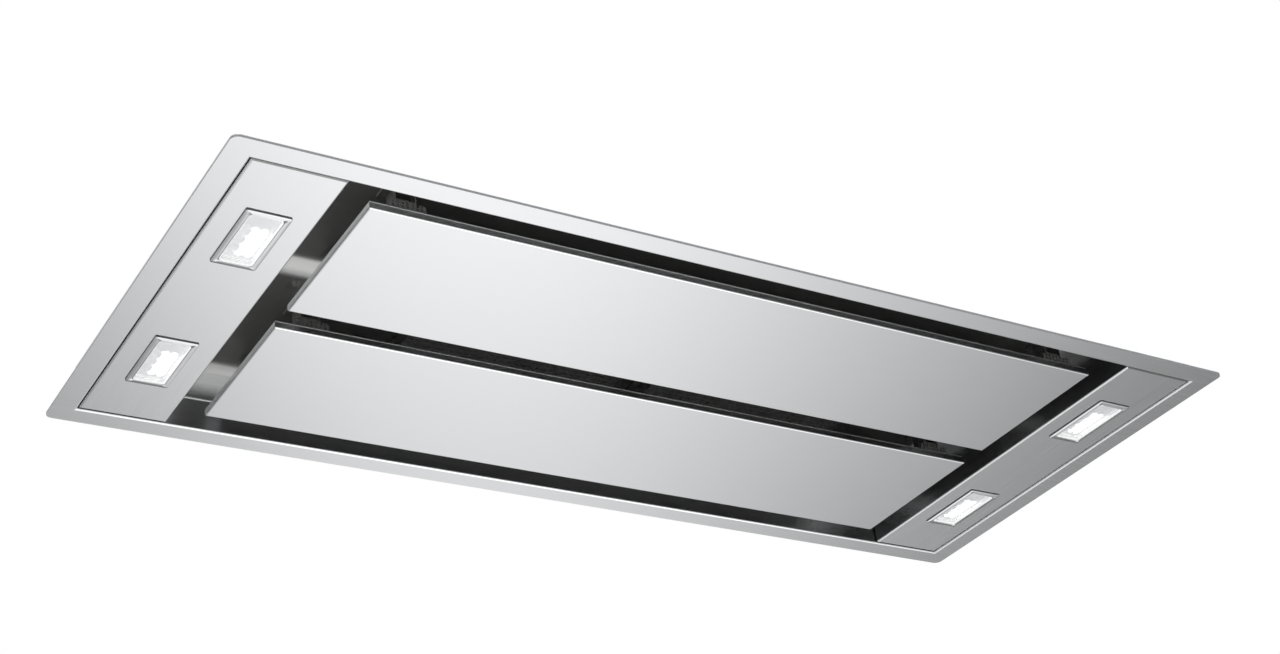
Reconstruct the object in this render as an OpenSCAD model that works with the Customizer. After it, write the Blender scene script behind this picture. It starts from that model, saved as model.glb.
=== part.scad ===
// Ceiling range hood with two hinged perimeter-suction panels, four lamps and a centrifugal blower.
// Everything is drawn from the visible face (height 0) upwards and then hung from the hanger brackets.

/* [Face frame] */
// Length of the visible frame
face_l = 1100; // [1000:10:1300]
// Width of the visible frame
face_w = 490; // [460:5:560]
// Width of the flange that covers the edge of the ceiling cut-out
flange_w = 24; // [18:1:34]
// Radius of the outer corners of the frame
corner_r = 7; // [3:0.5:14]
// Height of the folded outer edge of the flange
lip_h = 2.5; // [2:0.1:5]
// Height of the upright wall of the frame
upstand_h = 47; // [46:1:60]
// Thickness of the stainless sheet
sheet = 1; // [0.8:0.1:1.2]
// Inside radius of the folds
bend_r = 1; // [0.5:0.1:2]

/* [Suction panels] */
// Gap between a panel and the long sides of the frame
panel_side_gap = 28.5; // [20:0.5:36]
// Gap between the ends of a panel and the light panels
panel_end_gap = 30; // [20:1:45]
// Gap between the two panels
panel_mid_gap = 30; // [24:1:40]
// Height of the folded edge of a panel
panel_h = 8; // [7:0.5:9]
// Width of the lip turned in along the top of the folded edge
panel_lip = 6; // [4:0.5:10]
// Inside radius of the panel folds
panel_bend_r = 0.5; // [0.3:0.1:1]
// Set-back of the stiffening sheet from the edge of the panel
backing_inset = 1.5; // [1:0.5:3]

/* [Panel hinges and catches] */
// Distance of the hinges and catches from the middle of the hood
hinge_x = 370; // [300:5:380]
// Distance of the hinge pin from the near edge of its panel
hinge_inset = 12; // [11:0.5:14]
// Height of the hinge pin above the face
hinge_h = 21; // [20.5:0.1:21.5]
// Radius of the hinge pin
hinge_pin_r = 2; // [1.5:0.1:2.2]
// Wall of the hinge knuckle
knuckle_wall = 2.4; // [1.8:0.1:2.6]
// Clear width between the two cheeks of a hinge bracket
cheek_gap = 18; // [14:0.5:24]
// Thickness of the hinge and catch strip
strip_t = 1.2; // [1:0.1:1.5]
// Width of the hinge leaf and of the bracket foot
leaf_w = 36; // [30:1:44]
// Radius of a catch magnet
magnet_r = 7; // [5:0.5:9]
// Distance of the catch magnets from the far edge of the panel
catch_inset = 16; // [14:1:24]

/* [Light panels] */
// Width of a light panel
light_w = 88; // [74:1:110]
// Set-back of the light panel from the face of the frame
light_recess = 1; // [0.6:0.1:2]
// Height of the short folds of a light panel
light_fold = 12; // [8:1:16]
// Gap between a light panel and the frame
light_slack = 1.5; // [0.4:0.1:2.5]

/* [Lamps] */
// Length of a lamp bezel
lamp_l = 86; // [70:1:110]
// Width of a lamp bezel
lamp_w = 42; // [36:1:54]
// Length of the window in the bezel
window_l = 72; // [58:1:76]
// Width of the window in the bezel
window_w = 29; // [24:1:32]
// Radius of the window corners
window_r = 2.5; // [1:0.5:4]
// Distance between the front and rear lamps
lamp_pitch = 220; // [150:5:260]
// Thickness of the bezel flange
bezel_t = 1.6; // [1:0.1:2]
// Depth of the bezel collar behind the panel
collar_h = 5; // [4.5:0.5:9]
// Distance between neighbouring diodes
diode_pitch = 12.8; // [10:0.2:14]
// Distance of the rows of diodes from the middle of the lamp, towards its far end
diode_shift = 9; // [0:0.5:10]
// Radius of a diode dome
diode_r = 4; // [2:0.5:4.5]

/* [Intake deck and filters] */
// Height of the deck above the face
deck_h = 35; // [34.5:0.1:36]
// Height of the turned-up edge of the deck
deck_fold = 9; // [7:0.5:10]
// Length of a grease filter opening
filter_l = 268; // [200:2:280]
// Deck left between a filter and the long sides of the frame
filter_margin = 71; // [60:1:90]
// Bar of deck left between the two filters
filter_bar = 10; // [8:1:20]
// Thickness of a filter
filter_t = 10; // [9:0.5:12]
// Width of the filter frame lips
filter_lip = 11; // [8:1:16]
// Gap round a filter in its opening
filter_slack = 1; // [0.5:0.1:2]
// Radius of the holes in the filter face
mesh_r = 7; // [3:0.5:8]
// Distance between the holes in the filter face
mesh_pitch = 22; // [18:1:30]
// Travel of the filter latch
latch_travel = 6; // [4:0.5:7]
// Width of the latch bolt
latch_w = 20; // [14:1:26]

/* [Housing] */
// Height of the lower housing above the face
housing_h = 110; // [100:1:120]
// Thickness of the galvanised housing sheet
housing_t = 1; // [0.8:0.1:1.5]
// Length of the motor box
box_l = 440; // [430:5:470]
// Room between the inner outline of the frame and the long sides of the motor box
box_side = 31; // [28:1:60]
// Offset of the motor box along the hood
box_x = 30; // [25:1:40]
// Width of the foot flange of the motor box
box_foot = 14; // [12:1:18]

/* [Blower] */
// Outer radius of the fan wheel
wheel_r = 75; // [65:1:76]
// Radial depth of the blades
blade_depth = 12.5; // [10:0.5:14]
// Width of the fan wheel
wheel_w = 130; // [110:2:150]
// Number of blades in each half of the wheel
blade_count = 36; // [24:1:40]
// Thickness of a blade
blade_t = 0.8; // [0.6:0.1:1.2]
// Bend radius of a blade
blade_bend = 8; // [7.5:0.5:10]
// Smallest gap between the wheel and the scroll
tongue_gap = 8; // [6:0.5:9]
// Growth of the scroll in each quarter turn
scroll_step = 14; // [10:1:15]
// Gap between the wheel and the scroll cheeks
cheek_clear = 3; // [2:0.5:5]
// Gap between the filters and the scroll cheeks
scroll_lift = 8.7; // [8:0.1:30]
// Radius of the motor shaft
shaft_r = 4; // [3:0.5:5]
// Radius of the motor
motor_r = 45; // [35:1:50]

/* [Outlet] */
// Outer radius of the duct collar
duct_r = 74.5; // [60:0.5:74.5]
// Length of the duct collar
duct_l = 50; // [45:1:80]
// Thickness of the collar and flap sheet
duct_t = 1; // [0.8:0.1:1.2]
// Radius of the flap pin
flap_pin_r = 1.5; // [1.2:0.1:2]

/* [Hangers] */
// Distance of the hanger holes from the ends of the recess
hanger_inset_l = 36; // [30:1:90]
// Distance of the hanger holes from the long sides of the recess
hanger_inset_w = 41; // [30:1:90]
// Radius of the hole for the threaded rod
hanger_hole_r = 4.5; // [3:0.5:6]
// Height of the hanger ears above the lower housing
hanger_rise = 32; // [25:1:50]
// Thickness of the hanger strip
hanger_t = 2; // [1.5:0.5:3]

/* [Control box] */
// Length of the control box
ctrl_l = 150; // [130:5:180]
// Width of the control box
ctrl_w = 110; // [100:5:140]
// Height of the control box
ctrl_h = 46; // [42:1:60]
// Wall of the control box
ctrl_wall = 2.5; // [2:0.1:3.5]
// Radius of the cable entry in the gland
cable_r = 4.5; // [3:0.5:5]

/* [Hidden] */
$fn = 64;

// Clearance between pieces that sit next to each other
seat_gap = 0.3;
// Radial clearance of a pin in its hole
run_gap = 0.05;
// How far a cut runs past the surface it opens
overrun = 2;

// Outline of the frame inside its flange
inner_l = face_l - 2 * flange_w;
inner_w = face_w - 2 * flange_w;
// Half length of the recess between the light panels
recess_half = inner_l / 2 - light_w;
fold_r = sheet + bend_r;

panel_l = 2 * (recess_half - panel_end_gap);
panel_w = (inner_w - 2 * panel_side_gap - panel_mid_gap) / 2;
panel_y = (panel_w + panel_mid_gap) / 2;
panel_fold_r = sheet + panel_bend_r;
backing_top = panel_h + sheet;

// Hinge pin of a panel, from the middle of that panel
hinge_y = -panel_w / 2 + hinge_inset;
knuckle_r = hinge_pin_r + knuckle_wall;
knuckle_l = cheek_gap - 2 * seat_gap;
// Edge distance of the pin in a bracket cheek, and the room that the leaf leaves round it
cheek_edge = hinge_pin_r + 2.6 * strip_t;
leaf_room = 2;
leaf_base_d = 18;
// Outer face of the front plate of a leaf, measured from the pin
leaf_front = cheek_edge + leaf_room + strip_t;
foot_d = 24;
foot_y = foot_d / 3 - cheek_edge;
pin_head_r = 1.6 * hinge_pin_r;
pin_head_t = 1;
leaf_top = hinge_h - pin_head_r;
leaf_slot_h = hinge_h - cheek_edge - leaf_room / 2;
leaf_corner_r = 3;
leaf_hole_r = 1.1;
leaf_hole_pitch = 4.6;
leaf_hole_columns = 7;
leaf_hole_rows = 2;
leaf_hole_low = 2.4;
leaf_row_pitch = 3.4;
catch_y = panel_w / 2 - catch_inset;
striker_w = 18;
magnet_h = 4;
striker_top = backing_top + strip_t;

lamp_x = inner_l / 2 - light_w + (light_w - light_slack) / 2;
light_top = light_recess + sheet;
window_wall = 1.5;
collar_l = window_l + 2 * window_wall;
collar_w = window_w + 2 * window_wall;
collar_top = light_recess + collar_h;
lens_t = 1.5;
lens_h = light_recess + sheet;
board_t = 1.6;
diode_h = 1.5;
diode_rows = 4;
diode_columns = 3;
diode_column_pitch = 8.4;
sink_wall = 3;
sink_base_h = 3;
sink_fin_h = 12;
sink_fin_t = 2;
sink_fins = 5;
bezel_r = 2;

deck_top = deck_h + sheet;
filter_w = inner_w - 2 * filter_margin;
filter_x = (filter_l + filter_bar) / 2;
tongue_w = 22;
tongue_reach = 8;
tongue_t = 1.5;
tongue_x = 80;
latch_t = 4;
latch_reach = 7;
latch_block_l = 26;
latch_side = 8;
latch_block_w = latch_w + 2 * latch_side;
latch_tab_w = 12;
latch_tab_t = 3;
latch_tab_drop = 7;
latch_h = deck_top + seat_gap;

housing_in_l = inner_l + 2 * sheet + 2 * seat_gap;
housing_in_w = inner_w + 2 * sheet + 2 * seat_gap;
housing_l = housing_in_l + 2 * housing_t;
housing_w = housing_in_w + 2 * housing_t;
// Gap between the folded edge of the frame and the lower edge of the housing
housing_foot_gap = 1.5;
bead_w = 14;
bead_rise = 3;
bead_l = 180;
bead_pitch = 60;

// Volute drawn by the four-square method: each quarter turn has a larger radius
scroll_r = wheel_r + tongue_gap + scroll_step / 2;
scroll_w = wheel_w + 2 * cheek_clear;
scroll_t = 1;
throat_low = -scroll_step / 2;
throat_high = scroll_step / 2 + scroll_r + 2 * scroll_step;
throat_end = 150;
cheek_margin = 6;
scroll_low = scroll_r + scroll_step / 2;
fan_h = deck_h + filter_t + scroll_lift + cheek_margin + scroll_t + scroll_low;
top_h = fan_h + throat_high + scroll_t + seat_gap + housing_t;
box_w = inner_w - 2 * box_side;
inlet_step = 2.5;
inlet_r = wheel_r - blade_depth - inlet_step;
bell_r = 7;
hub_r = 11;
hub_l = 24;
rim_t = 1.5;
// How far the blades stay inside the edges of the rims and the disc
blade_tuck = 0.3;
disc_t = 1.5;
motor_front = hub_l / 2 + 3;
shaft_tail = motor_front + hub_l;
shaft_nose = hub_l / 2 + disc_t;
motor_boss_r = 12;
motor_boss_h = 2;
motor_step = 6;
spider_hub_r = 30;
spider_arm_w = 14;
spider_t = 3;
spider_arms = 3;
cheek_out = scroll_w / 2 + scroll_t;
cheek_flange = 12;

box_right = box_x + box_l / 2;
duct_in_r = duct_r - duct_t;
duct_flange_w = 10;
duct_edge = 0.5;
duct_h = top_h - duct_edge - duct_flange_w - duct_r;
flap_gap = 1.2;
flap_knuckle_wall = 1.1;
flap_knuckle_r = flap_pin_r + run_gap + flap_knuckle_wall;
flap_r = duct_in_r - flap_gap;
flap_set = 18;
flap_x = box_right + flap_set;
flap_knuckle_l = 20;
// How far the plate of a flap reaches into its knuckles
flap_root = 0.35;

hanger_w = 40;
hanger_foot_l = 30;
hanger_ear_l = 40;
hanger_level = housing_h + hanger_rise;
hanger_pitch_l = inner_l - 2 * hanger_inset_l;
hanger_pitch_w = inner_w - 2 * hanger_inset_w;

screw_r = 2;
screw_head_r = 4;
screw_head_h = 2.4;
screw_l = 6;

ctrl_inset = 100;
ctrl_x = -housing_l / 2 + ctrl_l / 2 + ctrl_inset;
ctrl_r = 6;
ctrl_lid_t = 3;
post_r = 4;
board_inset = 6;
pcb_t = 1.6;
pcb_lift = 6;
cap_r = 12;
cap_l = 46;
gland_r = 10;
gland_hex_r = 13;
gland_l = 18;

module hung() { translate([0, 0, -hanger_level]) children(); }

module rounded_2d(l, w, r) {
    square([l - 2 * r, w], center = true);
    square([l, w - 2 * r], center = true);
    for (x = [-1, 1], y = [-1, 1])
        translate([x * (l / 2 - r), y * (w / 2 - r)]) circle(r);
}

module rounded_plate(l, w, r, t) { linear_extrude(t) rounded_2d(l, w, r); }

module slab(l, w, t) { translate([-l / 2, -w / 2, 0]) cube([l, w, t]); }

// A profile drawn as (across, up), run along X and centred
module along_x(l) { rotate([90, 0, 90]) linear_extrude(l, center = true) children(); }

// A profile drawn as (X, up), run along Y and centred
module along_y(l) { rotate([90, 0, 0]) linear_extrude(l, center = true) children(); }

// Block whose lower edges are rounded, as the outside or the inside of a folded tray
module round_bottom_2d(l, h, r) {
    translate([-l / 2, r]) square([l, h - r]);
    translate([-l / 2 + r, 0]) square([l - 2 * r, h]);
    for (x = [-1, 1]) translate([x * (l / 2 - r), r]) circle(r);
}

module tray_block(l, w, h, r) {
    intersection() {
        along_x(l) round_bottom_2d(w, h, r);
        along_y(w) round_bottom_2d(l, h, r);
    }
}

// Sheet folded up along all four edges
module folded_tray(l, w, h) {
    difference() {
        tray_block(l, w, h, fold_r);
        translate([0, 0, sheet]) tray_block(l - 2 * sheet, w - 2 * sheet, h, bend_r);
    }
}

// Block whose lower and upper edges are rounded, as a pan with lips
module pan_block(l, w, h, r) {
    intersection() {
        along_x(l) translate([0, h / 2]) rounded_2d(w, h, r);
        along_y(w) translate([0, h / 2]) rounded_2d(l, h, r);
    }
}

// What the folded frame fills in one direction: the flange, the upright wall and the round inside the fold
module frame_2d(outer, inner) {
    translate([-outer / 2, 0]) square([outer, sheet]);
    translate([-inner / 2 - sheet, 0]) square([inner + 2 * sheet, upstand_h]);
    difference() {
        translate([-inner / 2 - sheet - bend_r, 0]) square([inner + 2 * sheet + 2 * bend_r, fold_r]);
        for (x = [-1, 1]) translate([x * (inner / 2 + sheet + bend_r), fold_r]) circle(bend_r);
    }
}

// The recess inside the frame in one direction, with its lower edge rounded outwards
module recess_2d(inner) {
    translate([-inner / 2, -overrun]) square([inner, upstand_h + 2 * overrun]);
    difference() {
        translate([-inner / 2 - fold_r, -overrun]) square([inner + 2 * fold_r, fold_r + overrun]);
        for (x = [-1, 1]) translate([x * (inner / 2 + fold_r), fold_r]) circle(fold_r);
    }
}

// Places of the screws that hold the motor box, and of those that hold the hangers
function box_screws() = [for (side = [-1, 1], share = [-0.42, 0, 0.42])
    each [[box_x + share * box_l, side * (box_w / 2 + box_foot / 2)],
        [box_x + side * (box_l / 2 + box_foot / 2), share * box_w]]];
function hanger_screws() = [for (x = [-1, 1], y = [-1, 1], s = [-1, 1])
    [x * (hanger_pitch_l / 2 - hanger_ear_l / 2 - hanger_foot_l / 2),
        y * hanger_pitch_w / 2 + s * hanger_w / 4]];

module screw_holes(places, low, high) {
    for (p = places)
        translate([p[0], p[1], low - overrun]) cylinder(r = screw_r + run_gap, h = high - low + 2 * overrun);
}

module screws(places, level) {
    for (p = places)
        translate([p[0], p[1], level]) {
            intersection() {
                cylinder(r = screw_head_r, h = screw_head_h);
                translate([0, 0, screw_head_h - 2 * screw_head_r]) sphere(2 * screw_head_r);
            }
            translate([0, 0, -screw_l]) cylinder(r = screw_r, h = screw_l);
        }
}

// Folded frame with a round-cornered flange, a folded outer edge and an upright wall inside
module trim_frame() {
    color("silver") hung() {
        intersection() {
            difference() {
                intersection() {
                    along_x(face_l) frame_2d(face_w, inner_w);
                    along_y(face_w) frame_2d(face_l, inner_l);
                }
                intersection() {
                    along_x(face_l) recess_2d(inner_w);
                    along_y(face_w) recess_2d(inner_l);
                }
            }
            rounded_plate(face_l, face_w, corner_r, upstand_h);
        }
        linear_extrude(lip_h) difference() {
            rounded_2d(face_l, face_w, corner_r);
            rounded_2d(face_l - 2 * sheet, face_w - 2 * sheet, corner_r - sheet);
        }
    }
}

// Folded light panel with two lamp cut-outs; its inner edge is folded up to the deck
module light_panel(side) {
    l = light_w - light_slack;
    w = inner_w - 2 * light_slack;
    translate([side * lamp_x, 0, light_recess]) difference() {
        union() {
            folded_tray(l, w, light_fold);
            translate([-side * l / 2, 0, 0]) mirror([side < 0 ? 1 : 0, 0, 0])
                translate([0, -w / 2, light_fold / 2])
                    cube([sheet, w, deck_h - seat_gap - light_recess - light_fold / 2]);
        }
        for (y = [-1, 1])
            translate([0, y * lamp_pitch / 2, -overrun])
                rounded_plate(collar_w + 2 * seat_gap, collar_l + 2 * seat_gap,
                    window_r + window_wall + seat_gap, sheet + 2 * overrun);
    }
}

module light_panel_left() { color("silver") hung() light_panel(-1); }
module light_panel_right() { color("silver") hung() light_panel(1); }

module at_lamp(side, end) { hung() translate([side * lamp_x, end * lamp_pitch / 2, 0]) children(); }

// Bezel: a flange under the panel, a window and a collar behind it
module lamp_bezel() {
    difference() {
        union() {
            translate([0, 0, light_recess - bezel_t]) rounded_plate(lamp_w, lamp_l, bezel_r, bezel_t);
            translate([0, 0, light_recess])
                rounded_plate(collar_w, collar_l, window_r + window_wall, collar_h);
        }
        translate([0, 0, light_recess - bezel_t - overrun])
            rounded_plate(window_w, window_l, window_r, bezel_t + collar_h + 2 * overrun);
    }
}

module lamp_lens() {
    translate([0, 0, lens_h])
        rounded_plate(window_w - seat_gap, window_l - seat_gap, window_r - seat_gap / 2, lens_t);
}

// Circuit board on the collar with its rows of diodes
module lamp_board() {
    translate([0, 0, collar_top]) {
        rounded_plate(collar_w, collar_l, window_r + window_wall, board_t);
        for (row = [0 : diode_rows - 1], column = [0 : diode_columns - 1])
            translate([(column - (diode_columns - 1) / 2) * diode_column_pitch,
                (row - (diode_rows - 1) / 2) * diode_pitch + diode_shift, -diode_h])
                cylinder(r = diode_r, h = diode_h);
    }
}

// Finned aluminium body that covers the collar and the board
module lamp_sink() {
    cavity_h = collar_top + board_t + seat_gap - light_top;
    sink_w = collar_w + 2 * seat_gap + 2 * sink_wall;
    sink_l = collar_l + 2 * seat_gap + 2 * sink_wall;
    translate([0, 0, light_top]) {
        difference() {
            rounded_plate(sink_w, sink_l, sink_wall, cavity_h + sink_base_h);
            translate([0, 0, -overrun]) rounded_plate(collar_w + 2 * seat_gap, collar_l + 2 * seat_gap,
                window_r + window_wall + seat_gap, cavity_h + overrun);
        }
        for (fin = [0 : sink_fins - 1])
            translate([(fin / (sink_fins - 1) - 1 / 2) * (sink_w - sink_fin_t), 0, cavity_h])
                slab(sink_fin_t, sink_l - 2 * sink_wall, sink_base_h + sink_fin_h);
    }
}

module lamp_bezel_front_left() { color("whitesmoke") at_lamp(-1, -1) lamp_bezel(); }
module lamp_bezel_rear_left() { color("whitesmoke") at_lamp(-1, 1) lamp_bezel(); }
module lamp_bezel_front_right() { color("whitesmoke") at_lamp(1, -1) lamp_bezel(); }
module lamp_bezel_rear_right() { color("whitesmoke") at_lamp(1, 1) lamp_bezel(); }
module lamp_lens_front_left() { color("white") at_lamp(-1, -1) lamp_lens(); }
module lamp_lens_rear_left() { color("white") at_lamp(-1, 1) lamp_lens(); }
module lamp_lens_front_right() { color("white") at_lamp(1, -1) lamp_lens(); }
module lamp_lens_rear_right() { color("white") at_lamp(1, 1) lamp_lens(); }
module lamp_board_front_left() { color("ivory") at_lamp(-1, -1) lamp_board(); }
module lamp_board_rear_left() { color("ivory") at_lamp(-1, 1) lamp_board(); }
module lamp_board_front_right() { color("ivory") at_lamp(1, -1) lamp_board(); }
module lamp_board_rear_right() { color("ivory") at_lamp(1, 1) lamp_board(); }
module lamp_sink_front_left() { color("darkgray") at_lamp(-1, -1) lamp_sink(); }
module lamp_sink_rear_left() { color("darkgray") at_lamp(-1, 1) lamp_sink(); }
module lamp_sink_front_right() { color("darkgray") at_lamp(1, -1) lamp_sink(); }
module lamp_sink_rear_right() { color("darkgray") at_lamp(1, 1) lamp_sink(); }

module at_panel(side) { hung() translate([0, side * panel_y, 0]) children(); }

// Folded pan: flat face, upright edge and a lip turned in along the top
module suction_panel() {
    difference() {
        pan_block(panel_l, panel_w, panel_h, panel_fold_r);
        translate([0, 0, sheet])
            pan_block(panel_l - 2 * sheet, panel_w - 2 * sheet, panel_h - 2 * sheet, panel_bend_r);
        translate([0, 0, panel_h / 2]) slab(panel_l - 2 * panel_lip, panel_w - 2 * panel_lip, panel_h);
    }
}

module panel_backing() {
    translate([0, 0, panel_h]) slab(panel_l - 2 * backing_inset, panel_w - 2 * backing_inset, sheet);
}

// Leaf spot-welded to the backing: base strip, lug with knuckle and a perforated front plate with
// round corners, slotted where it swings past the bracket cheeks
module hinge_leaf() {
    plate_h = leaf_top - backing_top;
    difference() {
        union() {
            translate([-leaf_w / 2 - leaf_room, hinge_y - leaf_front, backing_top])
                cube([leaf_w + 2 * leaf_room, leaf_base_d, strip_t]);
            translate([0, hinge_y - leaf_front + strip_t / 2, backing_top + plate_h / 2])
                along_y(strip_t) {
                    rounded_2d(leaf_w, plate_h, leaf_corner_r);
                    translate([0, -plate_h / 4]) square([leaf_w, plate_h / 2], center = true);
                }
            translate([-knuckle_l / 2, hinge_y - knuckle_r, backing_top])
                cube([knuckle_l, strip_t, hinge_h - backing_top]);
            translate([0, hinge_y, hinge_h]) along_x(knuckle_l) circle(knuckle_r);
        }
        translate([0, hinge_y, hinge_h]) along_x(knuckle_l + 2 * overrun) circle(hinge_pin_r + run_gap);
        for (x = [-1, 1])
            translate([x * (cheek_gap + strip_t) / 2, hinge_y - leaf_front, leaf_slot_h])
                slab(strip_t + leaf_room, 2 * (strip_t + overrun), leaf_top);
        translate([0, hinge_y - leaf_front, backing_top + strip_t + leaf_hole_low]) leaf_holes();
    }
}

module leaf_holes() {
    for (i = [0 : leaf_hole_columns - 1], j = [0 : leaf_hole_rows - 1])
        translate([(i - (leaf_hole_columns - 1) / 2) * leaf_hole_pitch, 0, j * leaf_row_pitch])
            along_y(2 * (strip_t + overrun)) circle(leaf_hole_r, $fn = 16);
}

module striker_plate() {
    translate([0, catch_y, backing_top]) rounded_plate(striker_w, striker_w, strip_t, strip_t);
}

module suction_panel_front() { color("silver") at_panel(-1) suction_panel(); }
module suction_panel_rear() { color("silver") at_panel(1) suction_panel(); }
module panel_backing_front() { color("gainsboro") at_panel(-1) panel_backing(); }
module panel_backing_rear() { color("gainsboro") at_panel(1) panel_backing(); }
module leaf_pair() { for (x = [-1, 1]) translate([x * hinge_x, 0, 0]) hinge_leaf(); }
module hinge_leaves_front() { color("gray") at_panel(-1) leaf_pair(); }
module hinge_leaves_rear() { color("gray") at_panel(1) leaf_pair(); }
module striker_pair() { for (x = [-1, 1]) translate([x * hinge_x, 0, 0]) striker_plate(); }
module striker_plates_front() { color("dimgray") at_panel(-1) striker_pair(); }
module striker_plates_rear() { color("dimgray") at_panel(1) striker_pair(); }

module at_each_hinge() {
    for (side = [-1, 1], x = [-1, 1])
        at_panel(side) translate([x * hinge_x, hinge_y, hinge_h]) children();
}

// Bracket under the deck: a foot with a turned-down edge and two cheeks with round lower ends that
// carry the pin
module hinge_bracket() {
    drop = deck_h - hinge_h;
    difference() {
        union() {
            translate([0, foot_y, drop - strip_t]) slab(leaf_w, foot_d, strip_t);
            translate([0, foot_y - (foot_d - strip_t) / 2, leaf_front + leaf_room])
                slab(leaf_w, strip_t, drop - leaf_front - leaf_room);
            for (x = [-1, 1])
                translate([x * (cheek_gap + strip_t) / 2, 0, 0]) {
                    along_x(strip_t) circle(cheek_edge);
                    translate([0, foot_d / 4 - cheek_edge / 2, drop / 2])
                        along_x(strip_t) square([foot_d / 2 + cheek_edge, drop], center = true);
                }
        }
        along_x(cheek_gap + 2 * strip_t + 2 * overrun) circle(hinge_pin_r + run_gap);
    }
}

module hinge_pin() {
    along_x(cheek_gap + 2 * strip_t + 2 * seat_gap) circle(hinge_pin_r);
    for (x = [-1, 1])
        translate([x * (cheek_gap / 2 + strip_t + seat_gap + pin_head_t / 2), 0, 0])
            along_x(pin_head_t) circle(pin_head_r);
}

module hinge_brackets() { color("gray") at_each_hinge() hinge_bracket(); }
module hinge_pins() { color("lightgray") at_each_hinge() hinge_pin(); }

module at_each_catch() {
    for (side = [-1, 1], x = [-1, 1])
        at_panel(side) translate([x * hinge_x, catch_y, 0]) children();
}

// Z-shaped strip from the deck down to the magnet
module catch_bracket() {
    shelf_h = striker_top + seat_gap + magnet_h;
    translate([0, 0, shelf_h]) slab(2 * magnet_r, 2 * magnet_r, strip_t);
    translate([-magnet_r, -magnet_r, shelf_h]) cube([2 * magnet_r, strip_t, deck_h - shelf_h]);
    translate([-magnet_r, -2 * magnet_r, deck_h - strip_t])
        cube([2 * magnet_r, magnet_r + strip_t, strip_t]);
}

module catch_brackets() { color("gray") at_each_catch() catch_bracket(); }
module catch_magnets() {
    color("darkslategray") at_each_catch()
        translate([0, 0, striker_top + seat_gap]) cylinder(r = magnet_r, h = magnet_h);
}

// Polished deck over the recess with a turned-up edge and one opening for each filter
module intake_deck() {
    l = inner_l - 2 * seat_gap;
    w = inner_w - 2 * seat_gap;
    color("dimgray") hung() translate([0, 0, deck_h]) difference() {
        folded_tray(l, w, deck_fold);
        for (x = [-1, 1])
            translate([x * filter_x, 0, -overrun]) slab(filter_l, filter_w, sheet + 2 * overrun);
    }
}

module at_filter(side) { hung() translate([side * filter_x, 0, deck_h]) children(); }

// Block that guides the latch, at the near edge of the filter
module latch_block(grow) {
    translate([0, -filter_w / 2 + filter_slack + (latch_block_l + grow) / 2, 0])
        slab(latch_block_w + 2 * grow, latch_block_l + grow, filter_t);
}

// Channel-section frame with two tongues over the far edge of the deck and a guide for the latch
module filter_frame() {
    l = filter_l - 2 * filter_slack;
    w = filter_w - 2 * filter_slack;
    difference() {
        union() {
            difference() {
                slab(l, w, filter_t);
                translate([0, 0, -overrun])
                    slab(l - 2 * filter_lip, w - 2 * filter_lip, filter_t + 2 * overrun);
                translate([0, 0, sheet]) slab(l - 2 * sheet, w - 2 * sheet, filter_t - 2 * sheet);
            }
            latch_block(0);
            for (x = [-1, 1])
                translate([x * tongue_x, w / 2 - sheet + (tongue_reach + sheet) / 2, latch_h - deck_h])
                    slab(tongue_w, tongue_reach + sheet, tongue_t);
        }
        translate([0, -w / 2 + latch_block_l / 2, latch_h - deck_h - seat_gap / 2])
            slab(latch_w + 2 * seat_gap, latch_block_l + 2 * overrun, latch_t + seat_gap);
        translate([0, -w / 2 + latch_block_l / 2, -overrun])
            slab(latch_tab_w + 2 * seat_gap, latch_tab_t + 2 * latch_travel + 2 * seat_gap,
                overrun + sheet + seat_gap);
    }
}

// Layered mesh pack, held in the channel of the frame
module filter_mesh() {
    l = filter_l - 2 * filter_slack - 2 * sheet - 2 * seat_gap;
    w = filter_w - 2 * filter_slack - 2 * sheet - 2 * seat_gap;
    t = filter_t - 2 * sheet - 2 * seat_gap;
    columns = floor((l - 2 * filter_lip) / mesh_pitch);
    rows = floor((w - 2 * filter_lip) / mesh_pitch);
    difference() {
        translate([0, 0, sheet + seat_gap]) linear_extrude(t) difference() {
            square([l, w], center = true);
            for (i = [0 : columns - 1], j = [0 : rows - 1])
                translate([(i - (columns - 1) / 2) * mesh_pitch, (j - (rows - 1) / 2) * mesh_pitch])
                    circle(mesh_r, $fn = 4);
        }
        latch_block(seat_gap);
        translate([0, -w / 2, -overrun])
            slab(latch_block_w + 2 * seat_gap, 2 * filter_lip, filter_t + 2 * overrun);
    }
}

// Sliding bolt with a finger tab below
module filter_latch() {
    w = filter_w - 2 * filter_slack;
    bolt_l = latch_reach + latch_block_l - latch_travel - seat_gap;
    translate([0, -w / 2 - latch_reach + bolt_l / 2, latch_h - deck_h]) slab(latch_w, bolt_l, latch_t);
    translate([0, -w / 2 + latch_block_l / 2 - latch_travel, -latch_tab_drop])
        slab(latch_tab_w, latch_tab_t, latch_tab_drop + latch_h - deck_h + latch_t / 2);
}

module filter_frame_left() { color("lightgray") at_filter(-1) filter_frame(); }
module filter_frame_right() { color("lightgray") at_filter(1) filter_frame(); }
module filter_mesh_left() { color("darkgray") at_filter(-1) filter_mesh(); }
module filter_mesh_right() { color("darkgray") at_filter(1) filter_mesh(); }
module filter_latch_left() { color("black") at_filter(-1) filter_latch(); }
module filter_latch_right() { color("black") at_filter(1) filter_latch(); }

// Pressed bead: a half-round rib with round ends, laid along Y
module bead(l) {
    intersection() {
        union() {
            along_y(l) circle(bead_w / 2);
            for (y = [-1, 1]) translate([0, y * l / 2, 0]) sphere(bead_w / 2);
        }
        translate([0, 0, -bead_w / 2 + bead_rise]) slab(2 * bead_w, l + 2 * bead_w, bead_w);
        slab(2 * bead_w, l + 2 * bead_w, bead_w);
    }
}

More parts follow.
